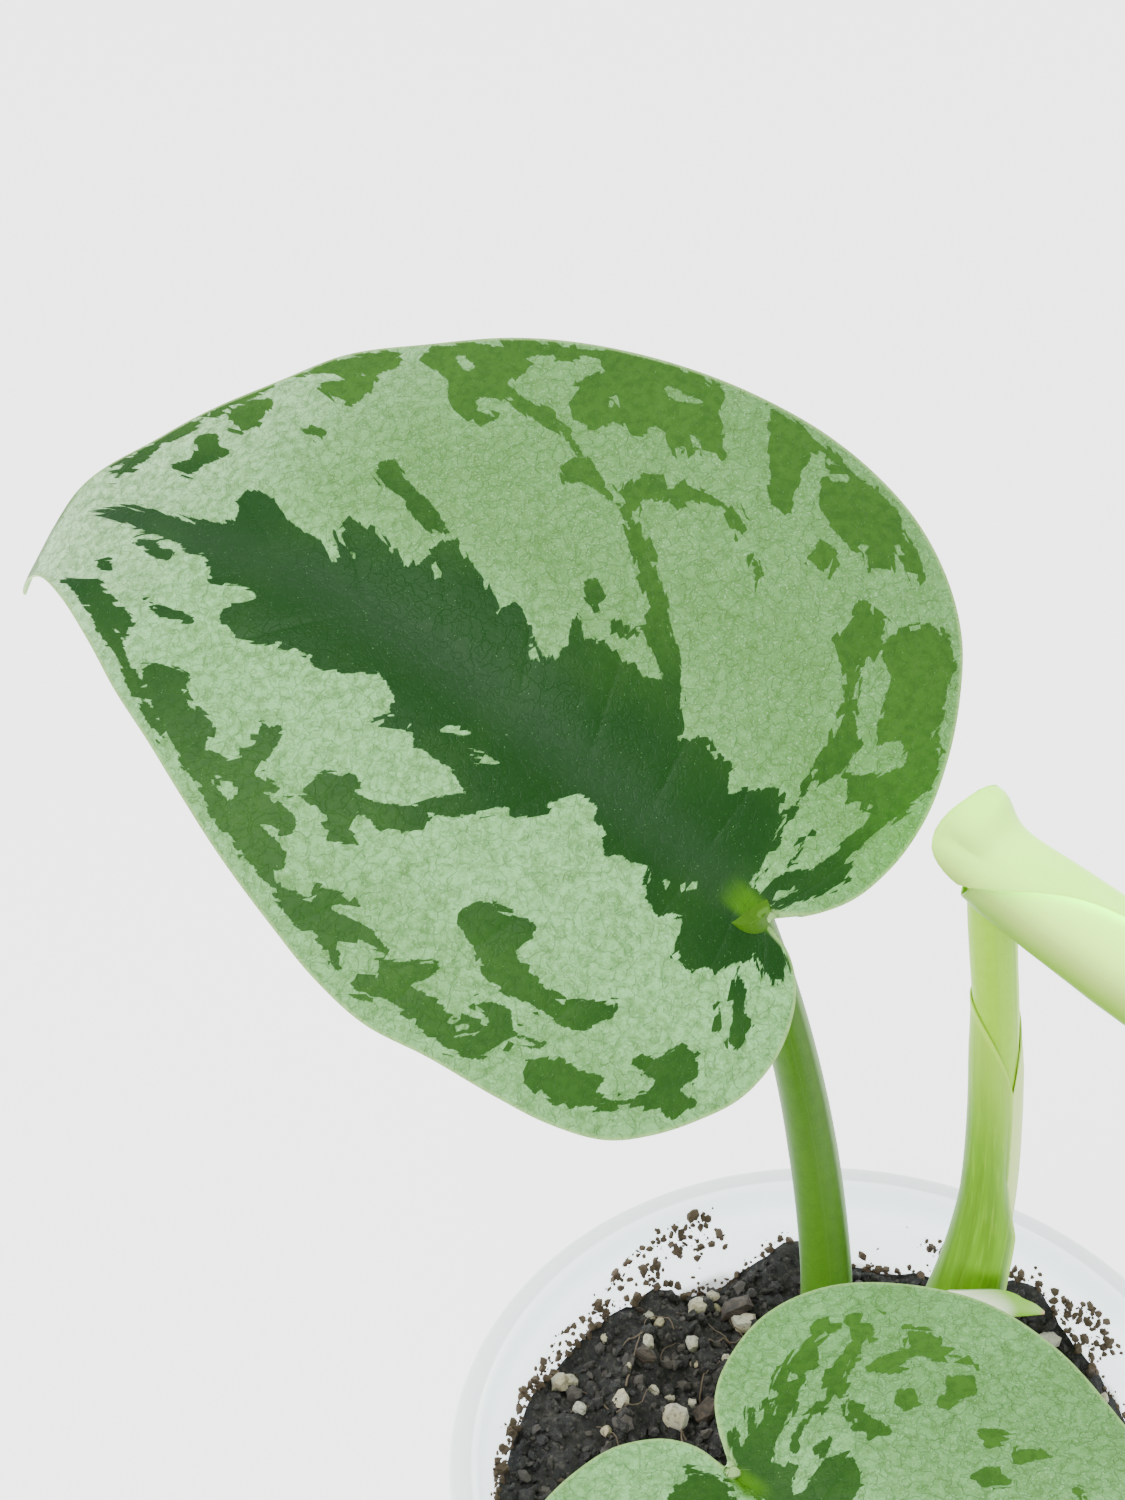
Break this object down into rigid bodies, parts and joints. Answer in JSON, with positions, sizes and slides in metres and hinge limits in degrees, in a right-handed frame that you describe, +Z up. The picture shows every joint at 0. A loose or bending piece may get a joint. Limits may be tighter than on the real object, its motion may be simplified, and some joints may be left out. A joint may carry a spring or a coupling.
{
  "type": "satin pothos in a nursery pot",
  "caption": "Young satin pothos with heart-shaped leaves splashed with silver and a new leaf still rolled up, growing in potting mix in a tapered translucent nursery pot.",
  "frame": {"origin": "centre of the pot's flat underside", "axes": "+Z up; +X to the right and +Y away, as seen from the front of the picture: the large leaf points to -X and +Y, the small leaf to +X and -Y"},
  "size_m": [0.1687, 0.1611, 0.1829],
  "materials": {
    "milky_plastic": "thin translucent polypropylene, satin",
    "potting_mix": "rough, damp, crumbly",
    "stalk_green": "smooth, waxy",
    "young_green": "smooth, waxy, pale",
    "satin_leaf": "satin, dark green splashed with silver"
  },
  "bodies": {
    "root": {"pot": "milky_plastic", "soil": "potting_mix", "stem": "stalk_green", "large_leaf_stalk": "stalk_green", "large_leaf": "satin_leaf", "small_leaf_stalk": "stalk_green", "small_leaf": "satin_leaf", "new_leaf_stalk": "young_green", "new_leaf_sheath": "stalk_green", "rolled_leaf": "young_green", "bract": "young_green"}
  },
  "joints": []
}
